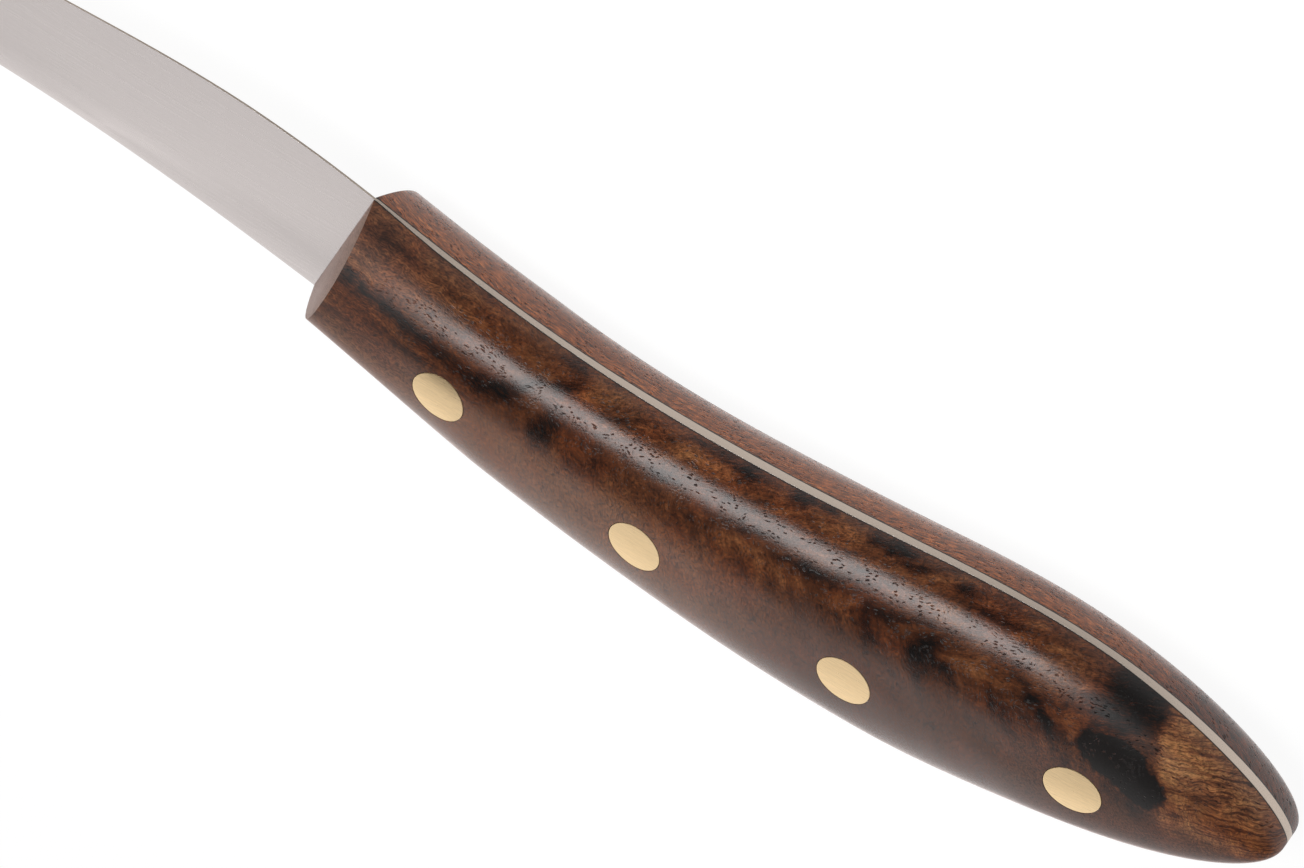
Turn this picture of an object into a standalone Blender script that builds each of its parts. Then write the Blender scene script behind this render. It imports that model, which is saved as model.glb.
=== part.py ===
"""A fixed-blade fillet knife: a steel blade with a full tang, two walnut scales and four brass pins.

The knife is modelled in its own frame. X runs from the heel of the blade (0) along the handle to the
butt, and the blade points along -X. Y runs from the cutting edge to the spine, with 0 at about the
height of the front pin. Z is the thickness, with 0 in the middle of the steel. Seen with the edge down
and the blade pointing away, +Z is the left side. An empty then lays the knife on its right scale, with
the origin under the middle of its box.
"""

import math

import bmesh
import bpy
import numpy as np
from mathutils import Vector

# Handle, in metres
HANDLE_LENGTH = 0.1193  # lower front corner to the end of the butt
NECK_WIDTH = 0.0195  # spine to belly at the front of the scales
PALM_WIDTH = 0.0275  # spine to belly at the widest place
NECK_THICKNESS = 0.0164  # over both scales at the front
PALM_THICKNESS = 0.0152  # over both scales at the palm
BUTT_LENGTH = 0.0442  # the stretch over which the palm closes to the butt

# The grip's centre line and its swell, from the front to the butt. Each row holds the share of the
# handle's length, the height of the centre line, and how far the width and the thickness have gone
# from the neck's (0) to the palm's (1).
GRIP_ROWS = (
    (-0.02, 0.00595, 0.01, 0.00),
    (0.11, 0.00215, 0.05, 0.35),
    (0.25, -0.00130, 0.25, 1.15),
    (0.38, -0.00290, 0.48, 1.25),
    (0.51, -0.00297, 0.77, 1.00),
    (0.65, -0.00172, 0.99, 1.00),
    (0.77, 0.00016, 1.00, 1.00),
    (0.88, 0.00112, 1.00, 1.00),
    (1.00, 0.00202, 1.00, 1.00),
)

# Exponents that round the grip off. In the cross-section 2 gives an ellipse, and more is fuller. The
# pairs say how late and how fully the width and the thickness close over the butt.
NECK_FULLNESS = 2.15
PALM_FULLNESS = 2.76
BUTT_WIDTH_ROUNDING = (2.3, 1.48)
BUTT_THICKNESS_ROUNDING = (2.15, 3.0)
BUTT_BLUNTNESS = 0.999  # how much of the closing the butt goes through, so its end isn't a point

# Front faces of the scales
FRONT_RAKE = math.radians(19.0)  # from square across the knife, forward at the belly
FRONT_SLOPE = math.radians(21.0)  # back from the steel to the outside

# Steel, in metres
TANG_FRONT_THICKNESS = 0.00024
TANG_BUTT_THICKNESS = 0.00105
TANG_TAPER = 0.55  # exponent: how soon the tang thickens behind the front of the handle
BLADE_LENGTH = 0.1780  # heel to tip
HEEL_THICKNESS = 0.00030  # at the spine
TIP_THICKNESS = 0.00020  # at the spine
EDGE_THICKNESS = 0.00012
DISTAL_TAPER = 2.5  # exponent: how early the spine thins towards the tip
PLUNGE = 0.0004  # the short step from the ground blade to the full tang, inside the scales

# The blade's outline, as shares of its length from the handle to the tip, and heights. The spine
# starts at the height of the scales' spine.
SPINE_ROWS = (
    (0.03, 0.01465),
    (0.06, 0.01539),
    (0.09, 0.01589),
    (0.12, 0.01606),
    (0.15, 0.01598),
    (0.21, 0.01536),
    (0.30, 0.01435),
    (0.45, 0.01315),
    (0.65, 0.01190),
    (0.82, 0.01125),
    (0.93, 0.01112),
    (1.00, 0.01140),
)
EDGE_ROWS = (
    (0.00, -0.00480),
    (0.05, -0.00345),
    (0.10, -0.00230),
    (0.15, -0.00143),
    (0.20, -0.00085),
    (0.26, -0.00058),
    (0.45, -0.00040),
    (0.65, 0.00030),
    (0.82, 0.00235),
    (0.93, 0.00560),
    (0.98, 0.00885),
    (1.00, 0.01110),
)

# Pins, in metres: the name, the share of the handle's length and the drop below its centre line
PIN_DIAMETER = 0.00635
PIN_ROWS = (
    ("front_pin", 0.1799, 0.0000),
    ("second_pin", 0.3935, 0.0013),
    ("third_pin", 0.6118, 0.0024),
    ("rear_pin", 0.8289, 0.0015),
)

# Clearances, in metres
GLUE_GAP = 0.0003  # between the steel and each scale
BORE_CLEARANCE = 0.0003  # round a pin, in the scales and in the tang

# Stock that is cut away again
BLANK_ALLOWANCE = 0.003  # metres of wood ahead of the front faces
PIN_STOCK = 2.0  # length of a pin before it is ground flush, in thicknesses of the handle
BLOCK_SIZE = 4.0  # the block that cuts a front face, in widths of the handle

# Facets
GRIP_STATIONS = 56  # along the handle
SECTION_STEPS = 26  # round one scale
TANG_STATIONS = 48
BLADE_STATIONS = 47  # so that a slice meets the spine's highest point
TIP_CROWDING = 1.5  # exponent: how much closer the blade's slices lie towards the tip
PIN_SIDES = 48
SHARP_ANGLE = math.radians(30.0)  # steeper edges than this stay crisp in the shading
SETTLING_STEPS = 8  # rounds in which the front of the spine finds its place

# Colours, each with its roughness and metallic value
WALNUT = ((0.095, 0.040, 0.020), 0.38, 0.0)
STEEL = ((0.56, 0.53, 0.50), 0.34, 1.0)
BRASS = ((0.80, 0.60, 0.30), 0.30, 1.0)


def smooth_curve(places, values):
    """The natural cubic spline through the values, as a function of the place."""
    x = np.array(places, float)
    y = np.array(values, float)
    step = np.diff(x)
    slope = np.diff(y) / step
    matrix = np.eye(len(x))
    right = np.zeros(len(x))
    for i in range(1, len(x) - 1):
        matrix[i, i - 1 : i + 2] = step[i - 1], 2 * (step[i - 1] + step[i]), step[i]
        right[i] = 6 * (slope[i] - slope[i - 1])
    bend = np.linalg.solve(matrix, right)

    def at(place):
        i = int(np.clip(np.searchsorted(x, place) - 1, 0, len(step) - 1))
        before = place - x[i]
        after = x[i + 1] - place
        swing = bend[i] * after**3 + bend[i + 1] * before**3
        ends = y[i] * after + y[i + 1] * before
        sag = (bend[i] * after + bend[i + 1] * before) * step[i] ** 2
        return float((swing - sag) / (6 * step[i]) + ends / step[i])

    return at


GRIP_SHARES, GRIP_HEIGHTS, GRIP_WIDENING, GRIP_THICKENING = zip(*GRIP_ROWS)
grip_centre = smooth_curve(GRIP_SHARES, GRIP_HEIGHTS)
grip_widening = smooth_curve(GRIP_SHARES, GRIP_WIDENING)
grip_thickening = smooth_curve(GRIP_SHARES, GRIP_THICKENING)
blade_edge = smooth_curve(*zip(*EDGE_ROWS))


def butt_rounding(x, late, full):
    """How much of the palm's size is left at x: 1 up to the butt, and nearly 0 at its end."""
    along = (x - (HANDLE_LENGTH - BUTT_LENGTH)) / BUTT_LENGTH
    closing = BUTT_BLUNTNESS * max(0.0, along)
    return (1 - closing**late) ** (1 / full)


def grip_half_width(x):
    width = NECK_WIDTH + (PALM_WIDTH - NECK_WIDTH) * grip_widening(x / HANDLE_LENGTH)
    return width / 2 * butt_rounding(x, *BUTT_WIDTH_ROUNDING)


def grip_half_thickness(x):
    """From the middle of the steel to the outside. Over the butt the wood closes down to the steel."""
    swell = grip_thickening(x / HANDLE_LENGTH)
    half = (NECK_THICKNESS + (PALM_THICKNESS - NECK_THICKNESS) * swell) / 2
    flat = scale_flat(x)
    return flat + (half - flat) * butt_rounding(x, *BUTT_THICKNESS_ROUNDING)


def grip_spine(x):
    return grip_centre(x / HANDLE_LENGTH) + grip_half_width(x)


def grip_belly(x):
    return grip_centre(x / HANDLE_LENGTH) - grip_half_width(x)


def tang_half_thickness(x):
    gone = max(0.0, x / HANDLE_LENGTH) ** TANG_TAPER
    return (TANG_FRONT_THICKNESS + (TANG_BUTT_THICKNESS - TANG_FRONT_THICKNESS) * gone) / 2


def scale_flat(x):
    """How far the flat of each scale lies from the middle of the steel."""
    return tang_half_thickness(x) + GLUE_GAP


def front_x(y):
    """Where the front of the handle crosses the middle of the steel at height y."""
    return (y - grip_belly(0)) * math.tan(FRONT_RAKE)


def front_x_at_spine():
    """Where the front of the handle meets the spine, whose height changes a little with x."""
    x = 0.0
    for _ in range(SETTLING_STEPS):
        x = front_x(grip_spine(x))
    return x


def handle_places(start):
    """Places along the handle from start to the butt, closer together over the butt."""
    butt_start = HANDLE_LENGTH - BUTT_LENGTH
    straight = GRIP_STATIONS // 2
    places = [start + (butt_start - start) * i / straight for i in range(straight)]
    rounded = GRIP_STATIONS - straight
    turns = [math.pi / 2 * i / rounded for i in range(rounded + 1)]
    return places + [butt_start + BUTT_LENGTH * math.sin(turn) for turn in turns]


def fullness(x):
    """The exponent of the cross-section at x."""
    swell = grip_thickening(x / HANDLE_LENGTH)
    return NECK_FULLNESS + (PALM_FULLNESS - NECK_FULLNESS) * min(1.0, swell)


def oval_point(x, turn):
    """The point of the grip's outside at x that lies a turn round from the spine, in radians."""
    y = math.copysign(abs(math.cos(turn)) ** (2 / fullness(x)), math.cos(turn))
    z = math.copysign(abs(math.sin(turn)) ** (2 / fullness(x)), math.sin(turn))
    centre = grip_centre(x / HANDLE_LENGTH)
    return Vector((x, centre + y * grip_half_width(x), z * grip_half_thickness(x)))


def full_section(x):
    """The oval round of the whole grip at x."""
    return [oval_point(x, math.pi * i / SECTION_STEPS) for i in range(2 * SECTION_STEPS)]


def scale_section(x):
    """The left scale at x: the part of the oval that lies clear of the steel, closed by a flat."""
    inside = scale_flat(x) / grip_half_thickness(x)
    start = math.asin(inside ** (fullness(x) / 2))
    sweep = math.pi - 2 * start
    return [oval_point(x, start + sweep * i / SECTION_STEPS) for i in range(SECTION_STEPS + 1)]


def bar_section(spine, edge, spine_half, edge_half):
    """A slice of the steel between a point of the spine and one of the edge."""
    return [
        Vector((spine[0], spine[1], spine_half)),
        Vector((edge[0], edge[1], edge_half)),
        Vector((edge[0], edge[1], -edge_half)),
        Vector((spine[0], spine[1], -spine_half)),
    ]


def loft(name, sections, collection):
    """A closed body through sections that have the same number of points, capped at both ends."""
    body = bmesh.new()
    rings = [[body.verts.new(point) for point in section] for section in sections]
    count = len(sections[0])
    for first, second in zip(rings, rings[1:]):
        for i in range(count):
            j = (i + 1) % count
            body.faces.new((first[i], first[j], second[j], second[i]))
    body.faces.new(rings[0])
    body.faces.new(rings[-1])
    bmesh.ops.recalc_face_normals(body, faces=body.faces)
    return finished(name, body, collection)


def finished(name, body, collection):
    mesh = bpy.data.meshes.new(name)
    body.to_mesh(mesh)
    body.free()
    mesh.shade_smooth()
    mesh.set_sharp_from_angle(angle=SHARP_ANGLE)
    piece = bpy.data.objects.new(name, mesh)
    collection.objects.link(piece)
    return piece


def mirrored(name, piece, collection):
    """The same body on the other side of the steel."""
    body = bmesh.new()
    body.from_mesh(piece.data)
    bmesh.ops.scale(body, vec=(1, 1, -1), verts=body.verts)
    bmesh.ops.recalc_face_normals(body, faces=body.faces)
    return finished(name, body, collection)


def as_cutter(piece):
    piece.hide_render = True
    piece.display_type = "WIRE"
    return piece


def cut(piece, cutter, operation="DIFFERENCE"):
    boolean = piece.modifiers.new(cutter.name, "BOOLEAN")
    boolean.operation = operation
    boolean.object = cutter
    boolean.solver = "EXACT"


def rod(name, x, y, radius, length, collection):
    """A round bar through the handle at x, y."""
    body = bmesh.new()
    bmesh.ops.create_cone(
        body,
        cap_ends=True,
        segments=PIN_SIDES,
        radius1=radius,
        radius2=radius,
        depth=length,
    )
    piece = finished(name, body, collection)
    piece.location = (x, y, 0)
    return piece


def front_cutter(name, side, collection):
    """A block whose rear face is the front face of the scale on that side (1 is left, -1 right)."""
    size = BLOCK_SIZE * PALM_WIDTH
    body = bmesh.new()
    bmesh.ops.create_cube(body, size=size)
    bmesh.ops.translate(body, vec=(-size / 2, 0, 0), verts=body.verts)
    block = finished(name, body, collection)
    block.rotation_euler = (0, side * FRONT_SLOPE, -FRONT_RAKE)
    block.location = (0, grip_belly(0), side * tang_half_thickness(0))
    return as_cutter(block)


def material(name, look):
    colour, roughness, metallic = look
    made = bpy.data.materials.new(name)
    made.use_nodes = True
    shader = made.node_tree.nodes["Principled BSDF"]
    shader.inputs["Base Color"].default_value = (*colour, 1)
    shader.inputs["Roughness"].default_value = roughness
    shader.inputs["Metallic"].default_value = metallic
    return made


def clear_scene():
    for piece in list(bpy.data.objects):
        bpy.data.objects.remove(piece, do_unlink=True)


def new_collection(name):
    made = bpy.data.collections.new(name)
    bpy.context.scene.collection.children.link(made)
    return made


def steel_sections():
    """Slices from the tip to the butt. Those in front lean with the front of the handle."""
    lean = front_x_at_spine()
    blade_spine = smooth_curve(*zip((0.0, grip_spine(lean)), *SPINE_ROWS))
    sections = []
    for i in range(BLADE_STATIONS + 1):
        share = 1 - (i / BLADE_STATIONS) ** TIP_CROWDING
        spine = (lean - (BLADE_LENGTH + lean) * share, blade_spine(share))
        edge = (-BLADE_LENGTH * share, blade_edge(share))
        thinning = (1 - share) ** DISTAL_TAPER
        spine_half = (TIP_THICKNESS + (HEEL_THICKNESS - TIP_THICKNESS) * thinning) / 2
        sections.append(bar_section(spine, edge, spine_half, EDGE_THICKNESS / 2))
    for i in range(TANG_STATIONS + 1):
        share = math.sin(math.pi / 2 * i / TANG_STATIONS)
        spine_x = lean + PLUNGE + (HANDLE_LENGTH - lean - PLUNGE) * share
        belly_x = PLUNGE + (HANDLE_LENGTH - PLUNGE) * share
        spine = (spine_x, grip_spine(spine_x))
        belly = (belly_x, grip_belly(belly_x))
        halves = tang_half_thickness(spine_x), tang_half_thickness(belly_x)
        sections.append(bar_section(spine, belly, *halves))
    return sections


def build_knife():
    clear_scene()
    knife = new_collection("fillet_knife")
    cutters = new_collection("cutters")
    walnut = material("walnut", WALNUT)
    steel = material("satin_steel", STEEL)
    brass = material("brass", BRASS)

    blade = loft("blade", steel_sections(), knife)
    blade.data.materials.append(steel)

    places = handle_places(-BLANK_ALLOWANCE)
    left = loft("left_scale", [scale_section(x) for x in places], knife)
    right = mirrored("right_scale", left, knife)
    envelope = as_cutter(loft("grip_envelope", [full_section(x) for x in places], cutters))
    cut(left, front_cutter("left_front", 1, cutters))
    cut(right, front_cutter("right_front", -1, cutters))

    stock = PIN_STOCK * max(NECK_THICKNESS, PALM_THICKNESS)
    pins = []
    for name, share, drop in PIN_ROWS:
        x = share * HANDLE_LENGTH
        y = grip_centre(share) - drop
        bore = as_cutter(rod(name + "_bore", x, y, PIN_DIAMETER / 2 + BORE_CLEARANCE, stock, cutters))
        for piece in (blade, left, right):
            cut(piece, bore)
        pin = rod(name, x, y, PIN_DIAMETER / 2, stock, knife)
        pin.data.materials.append(brass)
        cut(pin, envelope, "INTERSECT")
        pins.append(pin)
    for scale in (left, right):
        scale.data.materials.append(walnut)

    lay_on_origin([blade, left, right, *pins], list(cutters.objects), knife)


def lay_on_origin(pieces, guides, collection):
    """Hangs everything on one empty that puts the origin under the middle of the knife's box."""
    bpy.context.view_layer.update()
    graph = bpy.context.evaluated_depsgraph_get()
    corners = []
    for piece in pieces:
        seen = piece.evaluated_get(graph)
        corners += [seen.matrix_world @ Vector(corner) for corner in seen.bound_box]
    low = [min(corner[axis] for corner in corners) for axis in range(3)]
    high = [max(corner[axis] for corner in corners) for axis in range(3)]
    frame = bpy.data.objects.new("knife_frame", None)
    collection.objects.link(frame)
    frame.location = (-(low[0] + high[0]) / 2, -(low[1] + high[1]) / 2, -low[2])
    for piece in pieces + guides:
        piece.parent = frame
    bpy.context.view_layer.update()


build_knife()
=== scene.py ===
"""The looks of a fillet knife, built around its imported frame.

The file is laid out as an add-on and run as a script. Lengths are in metres unless a name says
otherwise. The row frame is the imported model's: X from the tip of the blade to the butt, Y from the
cutting edge to the spine, and Z up, out of the left scale. The knife frame has the same axes, with its
origin at the heel, in the middle of the steel.
"""

import math

import bmesh
import bpy
import numpy as np
from bpy.props import FloatProperty, FloatVectorProperty, PointerProperty
from mathutils import Matrix, Vector


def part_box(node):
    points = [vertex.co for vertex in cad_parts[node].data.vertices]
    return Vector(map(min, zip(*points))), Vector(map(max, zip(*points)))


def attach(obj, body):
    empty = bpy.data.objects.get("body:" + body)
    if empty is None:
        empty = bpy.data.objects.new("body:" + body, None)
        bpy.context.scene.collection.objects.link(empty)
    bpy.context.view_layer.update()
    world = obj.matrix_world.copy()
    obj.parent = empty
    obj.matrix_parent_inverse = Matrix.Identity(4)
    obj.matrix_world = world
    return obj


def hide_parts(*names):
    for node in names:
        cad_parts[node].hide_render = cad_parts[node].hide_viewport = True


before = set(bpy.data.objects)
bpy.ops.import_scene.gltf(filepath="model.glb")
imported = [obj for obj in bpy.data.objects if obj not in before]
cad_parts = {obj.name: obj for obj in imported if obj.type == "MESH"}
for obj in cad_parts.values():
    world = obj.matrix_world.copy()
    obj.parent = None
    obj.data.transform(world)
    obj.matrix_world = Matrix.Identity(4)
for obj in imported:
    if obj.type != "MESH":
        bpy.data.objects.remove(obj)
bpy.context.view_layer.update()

bl_info = {
    "name": "Fillet knife",
    "version": (1, 0, 0),
    "blender": (4, 5, 0),
    "location": "3D View > Sidebar > Fillet knife",
    "description": "Builds a finished fillet knife around its packed frame",
    "category": "Object",
}

BODY = "root"
PIN_NODES = ("front_pin", "second_pin", "third_pin", "rear_pin")

# The grip's centre line and its swell. Each row holds the share of the handle's length, the height of
# the centre line, and how far the width and the thickness have gone from the neck's to the palm's.
GRIP_ROWS = (
    (-0.02, 0.00595, 0.01, 0.00),
    (0.11, 0.00215, 0.05, 0.35),
    (0.25, -0.00130, 0.25, 1.15),
    (0.38, -0.00290, 0.48, 1.25),
    (0.51, -0.00297, 0.77, 1.00),
    (0.65, -0.00172, 0.99, 1.00),
    (0.77, 0.00016, 1.00, 1.00),
    (0.88, 0.00112, 1.00, 1.00),
    (1.00, 0.00202, 1.00, 1.00),
)
NECK_FULLNESS = 2.15
PALM_FULLNESS = 2.76
BUTT_WIDTH_ROUNDING = (2.3, 1.48)
BUTT_THICKNESS_ROUNDING = (2.15, 3.0)
BUTT_BLUNTNESS = 0.9999

# How far the tang reaches to the left and to the right of its middle, as it was ground by hand. Each
# row holds the share of the handle's length and the two reaches.
TANG_ROWS = (
    (-0.03, 0.00006, 0.00018),
    (0.06, 0.00008, 0.00020),
    (0.12, 0.00032, 0.00028),
    (0.27, 0.00034, 0.00037),
    (0.37, 0.00042, 0.00050),
    (0.43, 0.00047, 0.00051),
    (0.50, 0.00054, 0.00042),
    (0.60, 0.00047, 0.00042),
    (0.72, 0.00042, 0.00032),
    (0.81, 0.00030, 0.00049),
    (0.88, 0.00044, 0.00052),
    (0.93, 0.00055, 0.00046),
    (1.00, 0.00052, 0.00052),
)

# The blade's outline, as shares of its length from the handle to the tip, and heights
SPINE_ROWS = (
    (0.03, 0.01465),
    (0.06, 0.01539),
    (0.09, 0.01589),
    (0.12, 0.01606),
    (0.15, 0.01598),
    (0.21, 0.01536),
    (0.30, 0.01435),
    (0.45, 0.01315),
    (0.65, 0.01190),
    (0.82, 0.01125),
    (0.93, 0.01112),
    (1.00, 0.01140),
)
EDGE_ROWS = (
    (0.00, -0.00480),
    (0.05, -0.00345),
    (0.10, -0.00230),
    (0.15, -0.00143),
    (0.20, -0.00085),
    (0.26, -0.00058),
    (0.45, -0.00040),
    (0.65, 0.00030),
    (0.82, 0.00235),
    (0.93, 0.00560),
    (0.98, 0.00885),
    (1.00, 0.01110),
)

# The near scale's figure, in millimetres on its unrolled skin: along the knife, across it, the reach
# along and across the spot, its turn in degrees, and how much darker or paler it is
DARK_SPOTS = (
    (39.5, 17.0, 3.6, 1.6, -12, 0.12),
    (36.8, 9.6, 3.4, 1.3, -10, 0.26),
    (43.4, 8.4, 4.4, 1.0, -14, 0.28),
    (50.2, 6.2, 4.6, 1.1, -12, 0.31),
    (56.4, 6.2, 2.8, 1.6, 5, 0.34),
    (46.0, 4.6, 7.0, 0.7, -8, 0.14),
    (44.0, 0.6, 7.0, 0.8, -10, 0.12),
    (59.0, 8.4, 3.4, 1.0, 48, 0.24),
    (63.4, 12.2, 2.8, 1.0, 62, 0.34),
    (62.8, 15.4, 1.6, 1.2, 0, 0.30),
    (63.2, 4.4, 3.6, 1.5, 84, 0.40),
    (68.0, 1.6, 4.0, 1.8, 60, 0.16),
    (70.8, 12.4, 3.2, 0.5, 32, 0.22),
    (77.3, 8.6, 2.8, 0.9, 8, 0.22),
    (82.8, 15.3, 4.4, 0.8, 4, 0.32),
    (84.7, 14.3, 1.4, 0.9, 0, 0.34),
    (84.0, 10.6, 3.6, 0.6, 10, 0.14),
    (90.8, 16.1, 1.5, 1.3, 20, 0.46),
    (93.6, 16.7, 1.1, 0.8, 0, 0.34),
    (101.2, 17.0, 3.2, 0.9, 20, 0.46),
    (104.4, 16.4, 1.6, 1.0, 0, 0.26),
    (96.0, 8.2, 3.0, 1.0, 6, 0.26),
    (91.2, 6.6, 2.6, 0.6, 30, 0.16),
    (104.2, 8.4, 2.2, 1.3, 32, 0.34),
    (103.0, 4.0, 4.4, 0.9, -72, 0.18),
    (109.2, 7.4, 1.8, 1.3, 80, 0.42),
    (109.9, 5.8, 2.4, 1.2, 10, 0.24),
    (110.6, 0.2, 5.4, 0.7, -68, 0.18),
    (107.0, -0.4, 4.4, 0.6, -62, 0.14),
    (109.9, 17.2, 1.4, 0.8, 0, 0.34),
    (114.0, 16.6, 4.2, 0.8, 14, 0.26),
    (118.4, 12.6, 3.4, 0.8, 20, 0.16),
    (121.4, 9.0, 2.6, 1.0, -50, 0.32),
    (123.8, 6.8, 2.0, 1.3, -20, 0.30),
    (118.4, 5.0, 3.4, 1.0, -58, 0.20),
    (129.8, 17.6, 3.2, 2.3, -12, 0.50),
    (128.6, 14.0, 4.8, 2.2, 96, 0.42),
    (131.8, 15.0, 3.2, 1.7, 70, 0.30),
    (133.2, 12.0, 1.8, 1.6, 0, 0.16),
    (134.2, 1.2, 3.4, 1.6, -30, 0.30),
    (139.8, 9.6, 2.8, 1.4, 35, 0.20),
    (143.6, 7.0, 2.6, 0.9, 30, 0.12),
)
PALE_SPOTS = (
    (66.0, 14.0, 2.4, 1.4, 20, 0.12),
    (80.3, 13.2, 4.4, 0.7, 14, 0.20),
    (95.4, 15.8, 3.6, 1.3, 8, 0.16),
    (87.6, 5.4, 2.6, 1.8, 10, 0.20),
    (92.4, 4.8, 3.6, 1.8, 10, 0.18),
    (99.8, 6.4, 1.9, 1.5, 0, 0.22),
    (114.6, 8.6, 3.4, 1.5, 14, 0.26),
    (108.6, 12.8, 4.0, 1.2, 16, 0.10),
    (122.2, 14.2, 3.8, 1.6, 30, 0.12),
    (125.6, 8.0, 1.2, 1.8, 0, 0.20),
    (136.2, 13.0, 3.2, 2.4, 50, 0.20),
    (137.6, 8.6, 2.2, 2.0, 30, 0.14),
    (141.5, 4.0, 4.0, 1.8, 20, 0.08),
)
KNOT_SPOTS = (
    (128.6, 8.2, 2.6, 2.2, 10, 0.8),
    (131.0, 9.0, 2.2, 2.0, 0, 0.8),
    (130.8, 6.6, 2.8, 2.0, -10, 0.7),
    (133.6, 7.2, 2.6, 2.1, -20, 0.8),
    (135.1, 5.2, 1.7, 2.6, 10, 0.7),
    (132.6, 5.4, 2.4, 1.5, -20, 0.6),
)

# How the grain runs on the unrolled skin: its turn in degrees, the length and the width of its bands
# in millimetres, and a seed
GRAIN_WAYS = {
    "front": (-9, 16.0, 1.3, 3.0),
    "slant": (28, 7.0, 1.2, 11.0),
    "cross": (-66, 9.0, 1.5, 23.0),
    "waves": (24, 3.6, 0.42, 7.0),
    "straight": (-3, 18.0, 0.6, 41.0),
}

# Where the near scale's figure changes, in millimetres along or across its unrolled skin
STRAIGHT_TO_CROSSED = (50.0, 66.0)  # along
CROSSED_TO_SLANTING = (4.0, 11.0)  # across
GOLDEN_BUTT = (137.0, 138.2)  # along, where across is 0
CALM_SHEENED_BELLY = (4.5, -1.0)  # across; where the figure calms and the painted sheen sets in towards the belly

# The sum of the knot's spots over which the wood goes black
KNOT_EDGE = (0.12, 0.88)

# Oiled wood. A row of four holds two values of a pattern and the two that they become.
SKIN_SIDE = 7.6  # millimetres from the middle of the steel out to the side of the grip
GLUE_AND_GAP_SHADE = (0.06, 0.22, 0.03, 1.0)  # millimetres off the glue line; share of the colour: dark glue and a painted shade of the gap beside the steel
SPECKLE = (0.35, 0.65, 0.32, 1.72)  # grain; share of the colour
END_GRAIN_REFLECTION_LEAN = (-0.7, -0.85)  # the X of the normal, from side grain to end grain with its painted paler reflection
SATIN = (0.3, 0.7, 0.30, 0.24)  # grain; roughness
PORE_ROUGHNESS = 0.5
SHEEN = 0.75
SHEEN_ROUGHNESS = 0.3
SHEEN_TINT = (1.0, 0.84, 0.80, 1.0)
NEAR_GLOSS = 1.47  # index of refraction
FAR_GLOSS = 1.62
NEAR_TINT = (1.12, 0.95, 0.82)
FAR_TINT = (1.28, 0.92, 0.62)
PORE_HEIGHT = -1.0
FIBRE_HEIGHT = 0.2
GRAIN_HEIGHT = 0.5
WAVE_HEIGHT = 9.0
WAVE_SCALE = 0.11  # waves of the sanded surface in a millimetre
RELIEF = 0.00005  # metres that a height of 1 stands
RELIEF_STRENGTH = 0.6

# Metals: roughness, anisotropy, and the belt lines' length and width in millimetres and contrast
STEEL_FINISH = (0.30, 0.4, 14.0, 0.05, 0.08)
BRASS_FINISH = (0.32, 0.0, 1.6, 0.14, 0.15)
METAL_LEVEL = 0.98  # share of the colour that a middling line shows
LINE_SPREAD = (0.3, 0.7)  # the noise values that the lines lie between
LINE_POLISHED = 0.05  # how much smoother than the rest a line may be
LINE_DULLED = 0.07
LINE_DEPTH = 0.000004
LINE_STRENGTH = 0.25
STRIP_TO_FLANK = (0.4, 0.8)  # the Z of the normal, from a narrow face with its painted shade to a flank

# Softboxes: each one's place, what it faces, its width and height, and the setting of its power
SOFTBOXES = {
    "key_light": ((-0.17, 0.42, 0.70), (0.06, 0, 0.01), 0.62, 0.46, "key"),
    "back_light": ((-0.25, -1.10, 0.46), (0, 0, 0.05), 1.8, 0.9, "back"),
    "left_light": ((-0.75, 0.40, 0.40), (0.03, 0, 0.01), 0.6, 0.5, "sides"),
    "right_light": ((0.85, 0.35, 0.50), (0.08, 0, 0.01), 0.6, 0.5, "sides"),
}
NOT_MIRRORED = "right_light"  # it lights the knife and doesn't show in its gloss

# The floor
FLOOR_REACH = 4.0
FLOOR_CELLS = 8
FLOOR_ROUGHNESS = 0.9
WHITE_GLOW = 1.03
MIRRORED_GLOW = (0.034, 0.018, 0.12, WHITE_GLOW)  # Y, from behind the spine forwards; strength
SEEN_GLOW = 0.9  # share of the floor in view that is glow, where the rest takes the shadow

# The camera: its place, and where its right, down and forward point in the row frame
CAMERA_PLACE = (0.17199, 0.29565, 0.22963)
CAMERA_RIGHT = (0.8226, 0.13754, -0.55173)
CAMERA_DOWN = (0.50419, -0.62508, 0.59588)
CAMERA_AHEAD = (-0.26292, -0.76835, -0.58354)
SENSOR_WIDTH = 36.0  # millimetres
NEAR_CLIP = 0.01

# Facets
GRIP_STATIONS = 200
GRIP_SIDES = 72
BLADE_STATIONS = 150
TIP_CROWDING = 1.5  # exponent: how much closer the blade's slices lie towards the tip
TANG_STATIONS = 150
PIN_SIDES = 96
PIN_RINGS = 6
CORNER_CUT = 0.3  # of a rim's radius, each way from the corner to the middle of its rounding
BEVEL_LIMIT = 3  # a slice is at least this many times as high as its bevel
ROUNDING_LIMIT = 8  # and this many times as high as its rounding
BELLY_SAMPLES = 400
SETTLING_STEPS = 8
SHARP_ANGLE = math.radians(30)
MERGE = 1e-7
MILLIMETRES = 1000.0  # in a metre


def metres(name, description, default):
    """A length that a user may change."""
    return FloatProperty(name=name, description=description, default=default, unit="LENGTH")


def angle(name, description, degrees):
    """An angle that a user may change."""
    default = math.radians(degrees)
    return FloatProperty(name=name, description=description, default=default, subtype="ANGLE")


def watts(name, description, default):
    """A lamp's power that a user may change."""
    return FloatProperty(name=name, description=description, default=default, min=0.0)


def swatch(name, description, default):
    """A colour that a user may change."""
    return FloatVectorProperty(
        name=name, description=description, default=default, subtype="COLOR", min=0.0, max=1.0
    )


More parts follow.
